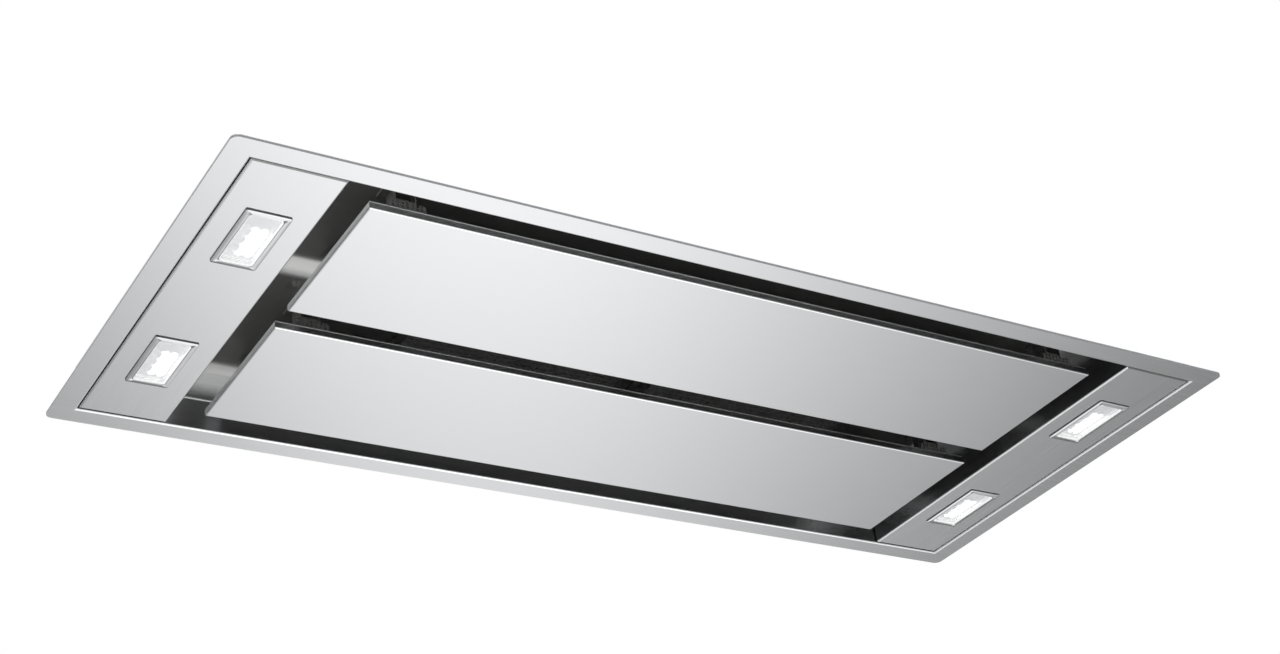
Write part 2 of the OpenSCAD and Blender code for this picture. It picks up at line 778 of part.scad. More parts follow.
// Galvanised box over the frame, open below, with a raised opening for the motor box
module lower_housing() {
    low = lip_h + housing_foot_gap;
    bead_x = (hanger_pitch_l / 2 - hanger_ear_l / 2 - hanger_foot_l + box_x + box_l / 2 + box_foot) / 2;
    color("lightsteelblue") hung() difference() {
        union() {
            translate([0, 0, low]) slab(housing_l, housing_w, housing_h - low);
            for (x = [-1, 1]) translate([bead_x + x * bead_pitch / 2, 0, housing_h]) bead(bead_l);
        }
        translate([0, 0, low - overrun])
            slab(housing_in_l, housing_in_w, housing_h - housing_t - low + overrun);
        translate([box_x, 0, housing_h - housing_t - overrun])
            slab(box_l - 2 * housing_t, box_w - 2 * housing_t, housing_t + 2 * overrun);
        screw_holes(concat(box_screws(), hanger_screws()), housing_h - housing_t, housing_h);
    }
}

// Box over the blower with a foot flange all round and the outlet hole in its right wall
module motor_box() {
    color("lightsteelblue") hung() difference() {
        translate([box_x, 0, housing_h]) union() {
            slab(box_l, box_w, top_h - housing_h);
            slab(box_l + 2 * box_foot, box_w + 2 * box_foot, housing_t);
        }
        translate([box_x, 0, housing_h - overrun])
            slab(box_l - 2 * housing_t, box_w - 2 * housing_t, top_h - housing_h - housing_t + overrun);
        translate([box_right, 0, duct_h]) along_x(2 * housing_t + 2 * overrun) circle(duct_in_r);
        screw_holes(box_screws(), housing_h, housing_h + housing_t);
    }
}

module at_fan() { hung() translate([0, 0, fan_h]) children(); }

// Spiral of three quarter turns and a straight throat to the right; grow thickens it evenly
module scroll_2d(grow) {
    h = scroll_step / 2;
    big = scroll_r + 3 * scroll_step + grow;
    centres = [[-h, -h], [-h, h], [h, h]];
    quarters = [[0, -1], [-1, -1], [-1, 0]];
    for (k = [0 : 2])
        translate(centres[k]) intersection() {
            circle(scroll_r + k * scroll_step + grow);
            translate([quarters[k][0] * big, quarters[k][1] * big]) square([big, big]);
        }
    translate([-h, -h]) square([2 * h, 2 * h]);
    translate([-h, throat_low - grow]) square([throat_end + h, throat_high - throat_low + 2 * grow]);
}

module scroll_wrap() {
    color("lightsteelblue") at_fan() along_y(scroll_w - 2 * seat_gap) difference() {
        scroll_2d(scroll_t);
        scroll_2d(0);
        translate([throat_end - overrun / 2, throat_low]) square([overrun, throat_high - throat_low]);
    }
}

// Side of the scroll: a flat cheek with a margin, a round inlet with a rolled bell mouth, and a top flange
module scroll_cheek() {
    difference() {
        union() {
            translate([0, cheek_out - scroll_t / 2, 0]) along_y(scroll_t) difference() {
                intersection() {
                    scroll_2d(scroll_t + cheek_margin);
                    translate([-2 * throat_end, -2 * throat_end])
                        square([3 * throat_end, 2 * throat_end + throat_high + scroll_t]);
                }
                circle(inlet_r + bell_r);
            }
            translate([0, cheek_out - bell_r, 0]) rotate([-90, 0, 0]) rotate_extrude() intersection() {
                translate([inlet_r + bell_r, 0]) difference() {
                    circle(bell_r);
                    circle(bell_r - scroll_t);
                }
                translate([inlet_r, 0]) square([bell_r, bell_r]);
            }
            translate([-throat_end / 2, cheek_out - scroll_t, throat_high])
                cube([throat_end, cheek_flange, scroll_t]);
        }
    }
}

module scroll_cheek_front() { color("lightsteelblue") at_fan() mirror([0, 1, 0]) scroll_cheek(); }
module scroll_cheek_rear() { color("lightsteelblue") at_fan() scroll_cheek(); }

// Loft from the rectangular throat to the round outlet
module outlet_loft(grow, past) {
    l = box_right - housing_t - throat_end;
    hull() {
        translate([throat_end - past, -scroll_w / 2 - grow, fan_h + throat_low - grow])
            cube([scroll_t, scroll_w + 2 * grow, throat_high - throat_low + 2 * grow]);
        translate([throat_end + l - scroll_t / 2 + past, 0, duct_h])
            along_x(scroll_t) circle(duct_in_r - scroll_t + grow, $fn = 40);
    }
}

module outlet_transition() {
    color("lightsteelblue") hung() intersection() {
        difference() {
            outlet_loft(scroll_t / 2, 0);
            outlet_loft(-scroll_t / 2, 0);
            translate([throat_end + scroll_t / 2, 0, fan_h + (throat_low + throat_high) / 2])
                along_x(2 * scroll_t)
                    square([scroll_w - scroll_t, throat_high - throat_low - scroll_t], center = true);
            translate([box_right - housing_t, 0, duct_h])
                along_x(2 * overrun) circle(duct_in_r - 1.5 * scroll_t);
        }
        translate([throat_end + seat_gap, -box_w / 2, housing_h])
            cube([box_right - housing_t - throat_end - 2 * seat_gap, box_w, top_h - housing_h]);
    }
}

// One forward-curved blade, cut from a thin ring
module blade_2d() {
    mid_r = wheel_r - blade_depth / 2;
    intersection() {
        difference() {
            circle(wheel_r - blade_tuck);
            circle(wheel_r - blade_depth + blade_tuck);
        }
        translate([mid_r, 0]) difference() {
            circle(blade_bend);
            circle(blade_bend - blade_t);
        }
        translate([mid_r - blade_depth, 0]) square([2 * blade_depth, 2 * blade_bend]);
    }
}

// Double-inlet wheel: a middle disc with a hub, two rows of blades and two end rims
module fan_wheel() {
    row_start = disc_t / 4;
    row_w = wheel_w / 2 - rim_t / 2 - row_start;
    color("gainsboro") at_fan() {
        for (side = [-1, 1]) {
            translate([0, side * (row_start + row_w / 2), 0]) rotate([0, side * 90 / blade_count, 0])
                along_y(row_w) for (k = [0 : blade_count - 1]) rotate(k * 360 / blade_count) blade_2d();
            translate([0, side * (wheel_w / 2 - rim_t / 2), 0]) along_y(rim_t) difference() {
                circle(wheel_r);
                circle(wheel_r - blade_depth);
            }
        }
        difference() {
            union() {
                along_y(disc_t) circle(wheel_r);
                along_y(hub_l) circle(hub_r);
            }
            along_y(hub_l + 2 * overrun) circle(shaft_r);
        }
    }
}

module motor_shaft() {
    color("lightgray") at_fan() translate([0, (shaft_tail - shaft_nose) / 2, 0])
        along_y(shaft_tail + shaft_nose) circle(shaft_r);
}

// Motor can with stepped ends and a boss that carries the shaft
module motor_body() {
    back = cheek_out;
    color("dimgray") at_fan() rotate([-90, 0, 0]) difference() {
        rotate_extrude() polygon([
            [0, motor_front - motor_boss_h],
            [motor_boss_r, motor_front - motor_boss_h],
            [motor_boss_r, motor_front],
            [motor_r - motor_step, motor_front],
            [motor_r, motor_front + motor_step],
            [motor_r, back - motor_step],
            [motor_r - motor_step, back],
            [0, back]]);
        translate([0, 0, motor_front - motor_boss_h - overrun])
            cylinder(r = shaft_r + run_gap, h = hub_l + motor_boss_h + overrun + seat_gap);
    }
}

// Three-armed plate that carries the motor on the rear cheek
module motor_spider() {
    color("gray") at_fan() translate([0, cheek_out + spider_t / 2, 0]) {
        along_y(spider_t) circle(spider_hub_r);
        for (k = [0 : spider_arms - 1])
            rotate([0, 90 + k * 360 / spider_arms, 0])
                translate([(inlet_r + 2 * bell_r + cheek_margin) / 2, 0, 0])
                    along_y(spider_t)
                        rounded_2d(inlet_r + 2 * bell_r + cheek_margin, spider_arm_w, spider_t);
    }
}

module at_duct() { hung() translate([flap_x, 0, duct_h]) children(); }

// Round collar with a flange against the motor box and two holes for the flap pin
module duct_collar() {
    color("lightsteelblue") hung() difference() {
        translate([box_right, 0, duct_h]) rotate([0, 90, 0]) rotate_extrude() polygon([
            [duct_in_r, 0],
            [duct_r + duct_flange_w, 0],
            [duct_r + duct_flange_w, duct_t],
            [duct_r, duct_t],
            [duct_r, duct_l],
            [duct_in_r, duct_l]]);
        translate([flap_x, 0, duct_h - duct_r - overrun])
            cylinder(r = flap_pin_r + run_gap, h = 2 * duct_r + 2 * overrun);
    }
}

module flap_pin() {
    color("lightgray") at_duct()
        translate([0, 0, -duct_r + run_gap]) cylinder(r = flap_pin_r, h = 2 * duct_r - 2 * run_gap);
}

// Half-round flap that swings outwards about the upright pin
module damper_flap(knuckle_places, notch_places) {
    clear = flap_knuckle_r + 2 * seat_gap;
    difference() {
        union() {
            translate([-duct_t / 2, 0, 0]) rotate([90, 0, 90]) linear_extrude(duct_t) intersection() {
                circle(flap_r);
                translate([flap_knuckle_r - flap_root, -flap_r]) square([flap_r, 2 * flap_r]);
            }
            for (z = knuckle_places)
                translate([0, 0, z - flap_knuckle_l / 2]) cylinder(r = flap_knuckle_r, h = flap_knuckle_l);
        }
        for (z = notch_places)
            translate([-overrun, -clear, z - flap_knuckle_l / 2 - seat_gap])
                cube([2 * overrun, 2 * clear, flap_knuckle_l + 2 * seat_gap]);
        translate([0, 0, -flap_r - overrun])
            cylinder(r = flap_pin_r + run_gap, h = 2 * flap_r + 2 * overrun);
    }
}

// The two flaps take turns along the pin
function rear_knuckles() = [-2 * flap_knuckle_l, flap_knuckle_l];
function front_knuckles() = [-flap_knuckle_l, 2 * flap_knuckle_l];
module damper_flap_rear() { color("silver") at_duct() damper_flap(rear_knuckles(), front_knuckles()); }
module damper_flap_front() {
    color("silver") at_duct() mirror([0, 1, 0]) damper_flap(front_knuckles(), rear_knuckles());
}

// Z-shaped bracket with a round hole for the threaded rod
module hanger_bracket() {
    foot_x = hanger_pitch_l / 2 - hanger_ear_l / 2;
    translate([foot_x - hanger_foot_l, hanger_pitch_w / 2 - hanger_w / 2, housing_h])
        cube([hanger_foot_l, hanger_w, hanger_t]);
    translate([foot_x - hanger_t, hanger_pitch_w / 2 - hanger_w / 2, housing_h])
        cube([hanger_t, hanger_w, hanger_rise]);
    translate([hanger_pitch_l / 2, hanger_pitch_w / 2, housing_h + hanger_rise - hanger_t])
        rounded_plate(hanger_ear_l, hanger_w, hanger_t, hanger_t);
    translate([foot_x - hanger_t, hanger_pitch_w / 2 - hanger_w / 2, housing_h + hanger_rise - hanger_t])
        cube([2 * hanger_t, hanger_w, hanger_t]);
}

module hanger_brackets() {
    color("lightsteelblue") hung() difference() {
        for (x = [0, 1], y = [0, 1])
            mirror([x, 0, 0]) mirror([0, y, 0]) hanger_bracket();
        for (x = [-1, 1], y = [-1, 1])
            translate([x * hanger_pitch_l / 2, y * hanger_pitch_w / 2, hanger_level - hanger_t - overrun])
                cylinder(r = hanger_hole_r, h = hanger_t + 2 * overrun);
        screw_holes(hanger_screws(), housing_h, housing_h + hanger_t);
    }
}

module housing_screws() {
    color("lightgray") hung() {
        screws(box_screws(), housing_h + housing_t);
        screws(hanger_screws(), housing_h + hanger_t);
    }
}

module at_ctrl() { hung() translate([ctrl_x, 0, housing_h]) children(); }

module ctrl_posts() {
    for (x = [-1, 1], y = [-1, 1])
        translate([x * (ctrl_l / 2 - ctrl_r - board_inset), y * (ctrl_w / 2 - ctrl_r - board_inset), 0])
            children();
}

// Moulded box with round corners, four board posts and a hole for the gland
module control_box() {
    color("darkgray") at_ctrl() difference() {
        union() {
            difference() {
                rounded_plate(ctrl_l, ctrl_w, ctrl_r, ctrl_h);
                translate([0, 0, ctrl_wall])
                    rounded_plate(ctrl_l - 2 * ctrl_wall, ctrl_w - 2 * ctrl_wall, ctrl_r - ctrl_wall,
                        ctrl_h);
            }
            ctrl_posts() cylinder(r = post_r, h = ctrl_wall + pcb_lift);
        }
        translate([-ctrl_l / 2, 0, ctrl_h / 2])
            along_x(2 * ctrl_wall + 2 * overrun) circle(gland_r + run_gap);
    }
}

module control_box_lid() {
    color("gray") at_ctrl() {
        translate([0, 0, ctrl_h]) rounded_plate(ctrl_l, ctrl_w, ctrl_r, ctrl_lid_t);
        translate([0, 0, ctrl_h - ctrl_wall]) linear_extrude(ctrl_wall) difference() {
            rounded_2d(ctrl_l - 2 * ctrl_wall - 2 * seat_gap, ctrl_w - 2 * ctrl_wall - 2 * seat_gap,
                ctrl_r - ctrl_wall - seat_gap);
            rounded_2d(ctrl_l - 4 * ctrl_wall, ctrl_w - 4 * ctrl_wall, ctrl_r - 2 * ctrl_wall);
        }
    }
}

// Circuit board with a relay, a transformer and a terminal block
module control_board() {
    l = ctrl_l - 2 * ctrl_r - 2 * ctrl_wall;
    w = ctrl_w - 2 * ctrl_r;
    color("darkgreen") at_ctrl() translate([0, 0, ctrl_wall + pcb_lift]) {
        slab(l, w, pcb_t);
        translate([l / 4, w / 4, pcb_t]) slab(l / 4, w / 4, 3 * ctrl_wall);
        translate([-l / 6, w / 4, pcb_t]) slab(l / 5, w / 3, 6 * ctrl_wall);
        translate([-l / 6, -w / 4, pcb_t]) slab(l / 2, w / 8, 3 * ctrl_wall);
    }
}

module motor_capacitor() {
    color("black") at_ctrl()
        translate([(ctrl_l - 2 * ctrl_r) / 4, -ctrl_w / 6, ctrl_wall + pcb_lift + pcb_t + cap_r])
            along_x(cap_l) circle(cap_r);
}

// Gland with a six-sided nut, a threaded neck and a round cable entry
module cable_gland() {
    color("gray") at_ctrl() translate([-ctrl_l / 2, 0, ctrl_h / 2]) difference() {
        union() {
            translate([-gland_l / 2, 0, 0]) along_x(gland_l) circle(gland_hex_r, $fn = 6);
            translate([(gland_l - overrun) / 2, 0, 0]) along_x(gland_l - overrun) circle(gland_r);
        }
        along_x(4 * gland_l) circle(cable_r);
    }
}

trim_frame();
light_panel_left();
light_panel_right();
lamp_bezel_front_left();
lamp_bezel_rear_left();
lamp_bezel_front_right();
lamp_bezel_rear_right();
lamp_lens_front_left();
lamp_lens_rear_left();
lamp_lens_front_right();
lamp_lens_rear_right();
lamp_board_front_left();
lamp_board_rear_left();
lamp_board_front_right();
lamp_board_rear_right();
lamp_sink_front_left();
lamp_sink_rear_left();
lamp_sink_front_right();
lamp_sink_rear_right();
suction_panel_front();
suction_panel_rear();
panel_backing_front();
panel_backing_rear();
hinge_leaves_front();
hinge_leaves_rear();
striker_plates_front();
striker_plates_rear();
hinge_brackets();
hinge_pins();
catch_brackets();
catch_magnets();
intake_deck();
filter_frame_left();
filter_frame_right();
filter_mesh_left();
filter_mesh_right();
filter_latch_left();
filter_latch_right();
lower_housing();
motor_box();
scroll_wrap();
scroll_cheek_front();
scroll_cheek_rear();
outlet_transition();
fan_wheel();
motor_shaft();
motor_body();
motor_spider();
duct_collar();
flap_pin();
damper_flap_front();
damper_flap_rear();
hanger_brackets();
housing_screws();
control_box();
control_box_lid();
control_board();
motor_capacitor();
cable_gland();
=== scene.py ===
"""Looks of the ceiling range hood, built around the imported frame. Metres, in the part's own frame."""
import math

import bmesh
import bpy
from mathutils import Matrix, Vector


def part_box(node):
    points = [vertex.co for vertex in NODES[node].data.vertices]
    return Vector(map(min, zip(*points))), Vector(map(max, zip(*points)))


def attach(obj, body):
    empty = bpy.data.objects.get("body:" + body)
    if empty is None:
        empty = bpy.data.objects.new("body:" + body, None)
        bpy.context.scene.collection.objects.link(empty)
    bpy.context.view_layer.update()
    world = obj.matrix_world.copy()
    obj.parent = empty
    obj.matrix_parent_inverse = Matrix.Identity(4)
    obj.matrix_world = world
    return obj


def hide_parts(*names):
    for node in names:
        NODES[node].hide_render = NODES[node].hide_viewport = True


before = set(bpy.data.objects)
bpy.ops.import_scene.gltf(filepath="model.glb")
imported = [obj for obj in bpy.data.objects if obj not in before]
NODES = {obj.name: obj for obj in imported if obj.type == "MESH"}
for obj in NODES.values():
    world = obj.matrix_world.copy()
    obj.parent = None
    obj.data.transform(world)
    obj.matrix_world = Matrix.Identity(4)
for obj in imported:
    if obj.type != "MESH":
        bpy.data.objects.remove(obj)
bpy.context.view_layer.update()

MM = 0.001
WHITE = (1, 1, 1, 1)
# Height of the visible face. Zero is at the hanger ears
FACE_Z = -142 * MM


# Camera, stage and light

# Solved from the corners of the face in the photograph
CAMERA_PLACE = (-1.0436, -1.4902, -1.1387)
CAMERA_RIGHT = (0.85265, -0.51132, -0.10748)
CAMERA_UP = (-0.18473, -0.48744, 0.85339)
CAMERA_BACK = (-0.48874, -0.70779, -0.51007)
CAMERA_LENS = 57.80
CAMERA_SENSOR = 36
CAMERA_REACH = 50

CEILING_Z = FACE_Z + 2.5 * MM
CEILING_COLOUR = (0.45, 0.45, 0.46, 1)
# Half length, half width and corner radius of the ceiling and of its opening, just outside the flange
CEILING_OUTLINE = (1.5, 1.2, 0.4)
OPENING_OUTLINE = (0.5503, 0.2453, 0.0073)
CORNER_STEPS = 6
FLOOR_Z = -2.4
FLOOR_HALF = 9.0
FLOOR_COLOUR = (0.86, 0.86, 0.85, 1)
# Distances from the middle between which the floor turns white
FLOOR_FADE = (1.6, 5.0)


def make_camera():
    data = bpy.data.cameras.new("photo_camera")
    data.sensor_width = CAMERA_SENSOR
    data.lens = CAMERA_LENS
    data.clip_end = CAMERA_REACH
    camera = bpy.data.objects.new("photo_camera", data)
    turn = Matrix((CAMERA_RIGHT, CAMERA_UP, CAMERA_BACK)).transposed().to_4x4()
    camera.matrix_world = Matrix.Translation(CAMERA_PLACE) @ turn
    bpy.context.scene.collection.objects.link(camera)
    bpy.context.scene.camera = camera


def link_object(name, mesh):
    obj = bpy.data.objects.new(name, mesh)
    bpy.context.scene.collection.objects.link(obj)
    return obj


def mesh_from(name, points, faces):
    mesh = bpy.data.meshes.new(name)
    mesh.from_pydata(points, [], faces)
    mesh.validate()
    return mesh


def backdrop_tree(name):
    """A bare material and its tree, with the output node and the Light Path node."""
    mat = bpy.data.materials.new(name)
    mat.use_nodes = True
    tree = mat.node_tree
    tree.nodes.clear()
    out = tree.nodes.new("ShaderNodeOutputMaterial")
    path = tree.nodes.new("ShaderNodeLightPath")
    return mat, tree, out, path


def mix_shaders(tree, factor, first, second):
    mix = tree.nodes.new("ShaderNodeMixShader")
    tree.links.new(factor, mix.inputs[0])
    tree.links.new(first, mix.inputs[1])
    tree.links.new(second, mix.inputs[2])
    return mix.outputs[0]


def white_emission(tree):
    white = tree.nodes.new("ShaderNodeEmission")
    white.inputs["Color"].default_value = WHITE
    white.inputs["Strength"].default_value = 1.0
    return white.outputs[0]


def one_sided(tree, shader):
    """A shader that is clear from the back of the surface."""
    side = tree.nodes.new("ShaderNodeNewGeometry")
    clear = tree.nodes.new("ShaderNodeBsdfTransparent")
    return mix_shaders(tree, side.outputs["Backfacing"], shader, clear.outputs[0])


def floor_material():
    """Pale matt floor that fades into the white surroundings, isn't mirrored in the steel and is clear
    from underneath."""
    mat, tree, out, path = backdrop_tree("floor_paint")
    matt = tree.nodes.new("ShaderNodeBsdfDiffuse")
    matt.inputs["Color"].default_value = FLOOR_COLOUR
    coord = tree.nodes.new("ShaderNodeTexCoord")
    reach = tree.nodes.new("ShaderNodeVectorMath")
    reach.operation = "LENGTH"
    tree.links.new(coord.outputs["Object"], reach.inputs[0])
    fade = tree.nodes.new("ShaderNodeMapRange")
    fade.interpolation_type = "SMOOTHSTEP"
    fade.inputs["From Min"].default_value = FLOOR_FADE[0]
    fade.inputs["From Max"].default_value = FLOOR_FADE[1]
    tree.links.new(reach.outputs["Value"], fade.inputs["Value"])
    shown = mix_shaders(tree, fade.outputs["Result"], matt.outputs[0], white_emission(tree))
    clear = tree.nodes.new("ShaderNodeBsdfTransparent")
    bare = mix_shaders(tree, path.outputs["Is Glossy Ray"], shown, clear.outputs[0])
    tree.links.new(one_sided(tree, bare), out.inputs[0])
    return mat


def ceiling_material():
    """White from the room below, and clear from above, so that the hidden half of the hood can be seen."""
    mat, tree, out, path = backdrop_tree("ceiling_paint")
    matt = tree.nodes.new("ShaderNodeBsdfDiffuse")
    matt.inputs["Color"].default_value = CEILING_COLOUR
    below = mix_shaders(tree, path.outputs["Is Camera Ray"], matt.outputs[0], white_emission(tree))
    tree.links.new(one_sided(tree, below), out.inputs[0])
    return mat


def corner_arcs(half_x, half_y, radius):
    """Points round a rounded rectangle."""
    points = []
    for corner, (sx, sy) in enumerate(((1, 1), (-1, 1), (-1, -1), (1, -1))):
        for step in range(CORNER_STEPS + 1):
            a = math.pi / 2 * (corner + step / CORNER_STEPS)
            points.append((sx * (half_x - radius) + radius * math.cos(a),
                           sy * (half_y - radius) + radius * math.sin(a)))
    return points


def make_stage():
    h = FLOOR_HALF
    corners = [(-h, -h, 0), (h, -h, 0), (h, h, 0), (-h, h, 0)]
    floor = link_object("floor", mesh_from("floor", corners, [(0, 1, 2, 3)]))
    floor.location = (0, 0, FLOOR_Z)
    floor.data.materials.append(floor_material())
    points = [(x, y, CEILING_Z) for x, y in corner_arcs(*CEILING_OUTLINE) + corner_arcs(*OPENING_OUTLINE)]
    count = len(points) // 2
    faces = [(count + k, count + (k + 1) % count, (k + 1) % count, k) for k in range(count)]
    ceiling = link_object("ceiling", mesh_from("ceiling", points, faces))
    ceiling.data.materials.append(ceiling_material())


# The room that the steel mirrors, as levels over x and y. A direction stands for the place where a line in
# that direction, from ROOM_DROP above the face and over the camera, meets the face. ROOM_LONG is read at x
# less ROOM_SHEAR times y, and ROOM_ACROSS at y, in metres
ROOM_DROP = 0.9967
ROOM_SHEAR = 0.5
ROOM_LONG = [(-1.5, 0.15), (-0.9, 0.40), (-0.7, 0.426), (-0.54, 0.648), (-0.42, 0.892), (-0.32, 0.955),
             (-0.22, 0.985), (-0.12, 0.955), (0.0, 0.835), (0.12, 0.67), (0.24, 0.515), (0.36, 0.425),
             (0.48, 0.285), (0.64, 0.13), (0.85, 0.12), (1.4, 0.4)]
ROOM_ACROSS = [(-1.0, 1.32), (-0.245, 1.30), (-0.12, 1.10), (0.0, 1.0), (0.12, 0.86), (0.245, 0.74),
               (1.0, 0.7)]
# Plain grey rest of the room, and where along Y the drawn field takes over from it
ROOM_REST = 0.45
FIELD_START = (-1.3, -0.7)
# Two bright patches beside that field, which the bends of the sheets mirror: levels over x and over y,
# whose product is added
PATCHES = [
    ([(-0.9, 0.0), (-0.7, 1.0), (-0.35, 1.0), (-0.2, 0.3), (0.0, 0.0)],
     [(-3.6, 0.0), (-3.3, 0.5), (-2.6, 0.5), (-2.1, 1.3), (-1.2, 1.3), (-0.8, 0.0)]),
    ([(-2.3, 0.0), (-2.0, 0.8), (-1.5, 0.8), (-1.2, 0.0)],
     [(-1.2, 0.0), (-0.9, 1.0), (-0.1, 1.0), (0.3, 0.0)]),
]
# Level above the hood, and the heights of a direction of length 1 between which the room gives way to it
ROOM_ABOVE = 0.8
ROOM_HORIZON = (-0.16, 0.12)
# Least fall of a direction of length 1, which keeps the places finite
ROOM_LOWEST = 0.12


def math_node(tree, operation, first, second=None):
    node = tree.nodes.new("ShaderNodeMath")
    node.operation = operation
    for socket, value in zip(node.inputs, (first, second)):
        if value is None:
            continue
        if isinstance(value, (int, float)):
            socket.default_value = value
        else:
            tree.links.new(value, socket)
    return node.outputs[0]


def map_range(tree, value, low, high, to_low=0.0, to_high=1.0):
    node = tree.nodes.new("ShaderNodeMapRange")
    for name, number in (("From Min", low), ("From Max", high), ("To Min", to_low), ("To Max", to_high)):
        node.inputs[name].default_value = number
    tree.links.new(value, node.inputs["Value"])
    return node.outputs["Result"]


def level_ramp(tree, value, levels):
    """Brightness read from a list of (place, level)."""
    low, high = levels[0][0], levels[-1][0]
    ramp = tree.nodes.new("ShaderNodeValToRGB")
    stops = ramp.color_ramp.elements
    while len(stops) < len(levels):
        stops.new(0.5)
    top = max(level for _, level in levels)
    for stop, (place, level) in zip(stops, levels):
        stop.position = (place - low) / (high - low)
        stop.color = (level / top, level / top, level / top, 1)
    tree.links.new(map_range(tree, value, low, high), ramp.inputs[0])
    return math_node(tree, "MULTIPLY", ramp.outputs[0], top)


def make_world():
    world = bpy.data.worlds.new("studio")
    bpy.context.scene.world = world
    world.use_nodes = True
    tree = world.node_tree
    tree.nodes.clear()
    out = tree.nodes.new("ShaderNodeOutputWorld")
    path = tree.nodes.new("ShaderNodeLightPath")
    coord = tree.nodes.new("ShaderNodeTexCoord")
    axes = tree.nodes.new("ShaderNodeSeparateXYZ")
    tree.links.new(coord.outputs["Generated"], axes.inputs[0])
    fall = math_node(tree, "MAXIMUM", math_node(tree, "MULTIPLY", axes.outputs["Z"], -1.0), ROOM_LOWEST)
    reach = []
    for axis in "XY":
        slope = math_node(tree, "DIVIDE", axes.outputs[axis], fall)
        reach.append(math_node(tree, "MULTIPLY", slope, ROOM_DROP))
    x, y = (math_node(tree, "ADD", r, c) for r, c in zip(reach, CAMERA_PLACE))
    across = level_ramp(tree, y, ROOM_ACROSS)
    along = math_node(tree, "SUBTRACT", x, math_node(tree, "MULTIPLY", y, ROOM_SHEAR))
    field = math_node(tree, "MULTIPLY", level_ramp(tree, along, ROOM_LONG), across)
    extra = math_node(tree, "MULTIPLY", math_node(tree, "SUBTRACT", field, ROOM_REST),
                      map_range(tree, y, *FIELD_START))
    below = math_node(tree, "ADD", extra, ROOM_REST)
    for over_x, over_y in PATCHES:
        patch = math_node(tree, "MULTIPLY", level_ramp(tree, x, over_x), level_ramp(tree, y, over_y))
        below = math_node(tree, "ADD", below, patch)
    above = map_range(tree, axes.outputs["Z"], *ROOM_HORIZON)
    rest = math_node(tree, "SUBTRACT", ROOM_ABOVE, below)
    level = math_node(tree, "ADD", below, math_node(tree, "MULTIPLY", rest, above))
    room = tree.nodes.new("ShaderNodeBackground")
    tree.links.new(level, room.inputs["Color"])
    white = tree.nodes.new("ShaderNodeBackground")
    white.inputs["Color"].default_value = WHITE
    seen = mix_shaders(tree, path.outputs["Is Camera Ray"], room.outputs[0], white.outputs[0])
    tree.links.new(seen, out.inputs[0])


# Name, place, point faced, size and power of each lamp of the studio
LIGHTS = [
    ("soft_left", (-2.2, 0.6, -1.9), (0, 0, FACE_Z), (1.6, 1.2), 12),
    ("soft_above", (-1.0, -1.6, 2.2), (0, 0, 0), (2.4, 2.0), 26),
]


def area_light(name, place, aim, size, power):
    data = bpy.data.lights.new(name, "AREA")
    data.shape = "RECTANGLE"
    data.size, data.size_y = size
    data.energy = power
    light = bpy.data.objects.new(name, data)
    light.location = place
    light.rotation_mode = "QUATERNION"
    light.rotation_quaternion = (Vector(aim) - Vector(place)).to_track_quat("-Z", "Y")
    bpy.context.scene.collection.objects.link(light)


# Materials

NOISE_DETAIL = 3.0
# Part of the noise's range that is spread over the two colours
NOISE_SPAN = (0.3, 0.7)
RELIEF_DEPTH = 0.2 * MM
LENS_IOR = 1.45


def grained(name, dark, light, metallic, rough, scale, relief, cells=False):
    """A material whose colour, roughness and relief all come from one noise or cell pattern."""
    mat = bpy.data.materials.new(name)
    mat.use_nodes = True
    tree = mat.node_tree
    bsdf = tree.nodes["Principled BSDF"]
    bsdf.inputs["Metallic"].default_value = metallic
    coord = tree.nodes.new("ShaderNodeTexCoord")
    mapping = tree.nodes.new("ShaderNodeMapping")
    mapping.inputs["Scale"].default_value = scale
    tree.links.new(coord.outputs["Object"], mapping.inputs["Vector"])
    if cells:
        pattern = tree.nodes.new("ShaderNodeTexVoronoi")
        split = tree.nodes.new("ShaderNodeSeparateColor")
        tree.links.new(pattern.outputs["Color"], split.inputs[0])
        value = split.outputs[0]
    else:
        pattern = tree.nodes.new("ShaderNodeTexNoise")
        pattern.inputs["Detail"].default_value = NOISE_DETAIL
        value = pattern.outputs["Fac"]
    pattern.inputs["Scale"].default_value = 1.0
    tree.links.new(mapping.outputs["Vector"], pattern.inputs["Vector"])
    low, high = (0.0, 1.0) if cells else NOISE_SPAN
    ramp = tree.nodes.new("ShaderNodeValToRGB")
    for stop, place, colour in zip(ramp.color_ramp.elements, (low, high), (dark, light)):
        stop.position = place
        stop.color = (*colour, 1)
    tree.links.new(value, ramp.inputs[0])
    tree.links.new(ramp.outputs[0], bsdf.inputs["Base Color"])
    tree.links.new(map_range(tree, value, low, high, *rough), bsdf.inputs["Roughness"])
    bump = tree.nodes.new("ShaderNodeBump")
    bump.inputs["Strength"].default_value = relief
    bump.inputs["Distance"].default_value = RELIEF_DEPTH
    tree.links.new(value, bump.inputs["Height"])
    tree.links.new(bump.outputs["Normal"], bsdf.inputs["Normal"])
    return mat


def coordinate(mat, kind, axis):
    """One axis of a material's Object or Normal coordinate."""
    coord = mat.node_tree.nodes.new("ShaderNodeTexCoord")
    axes = mat.node_tree.nodes.new("ShaderNodeSeparateXYZ")
    mat.node_tree.links.new(coord.outputs[kind], axes.inputs[0])
    return axes.outputs[axis]


def paint_shade(mat, factor, colour):
    """Paint shade into a material: mix its colour towards a darker one."""
    tree = mat.node_tree
    socket = tree.nodes["Principled BSDF"].inputs["Base Color"]
    mix = tree.nodes.new("ShaderNodeMix")
    mix.data_type = "RGBA"
    tree.links.new(factor, mix.inputs["Factor"])
    tree.links.new(socket.links[0].from_socket, mix.inputs["A"])
    mix.inputs["B"].default_value = colour
    tree.links.new(mix.outputs["Result"], socket)


